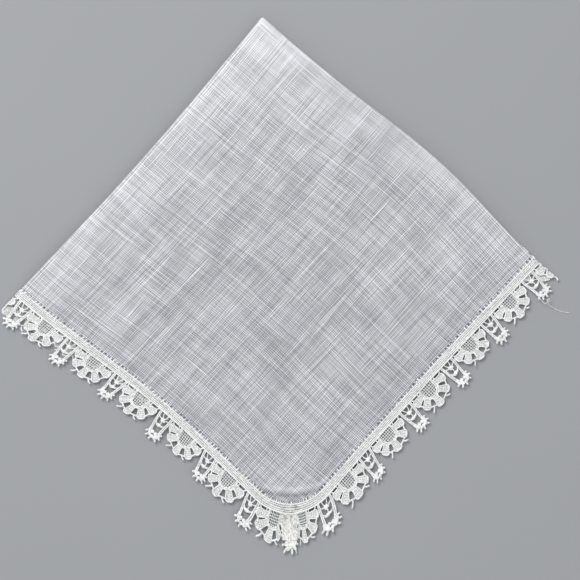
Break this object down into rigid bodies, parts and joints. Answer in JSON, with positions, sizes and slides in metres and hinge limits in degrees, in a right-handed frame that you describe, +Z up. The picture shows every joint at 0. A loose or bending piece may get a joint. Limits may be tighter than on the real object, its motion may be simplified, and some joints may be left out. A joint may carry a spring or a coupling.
{
  "type": "folded lace-edged linen handkerchief",
  "caption": "Sheer linen handkerchief with rounded corners and a scalloped fan-and-bell lace edging, folded in quarters and lying flat.",
  "frame": {"origin": "middle of the bounding box, on the surface that the handkerchief lies on", "axes": "+Z up, through the four folded layers; the doubly creased corner points to +Y and the free rounded corner with the lace seam to -Y; the fully folded edge runs from the creased corner towards -X, and the other folded edge towards +X"},
  "size_m": [0.2104, 0.2028, 0.0054],
  "materials": {
    "linen": "matte",
    "lace": "matte"
  },
  "bodies": {
    "root": {"linen_cloth": "linen", "lace_edging": "lace"}
  },
  "joints": []
}
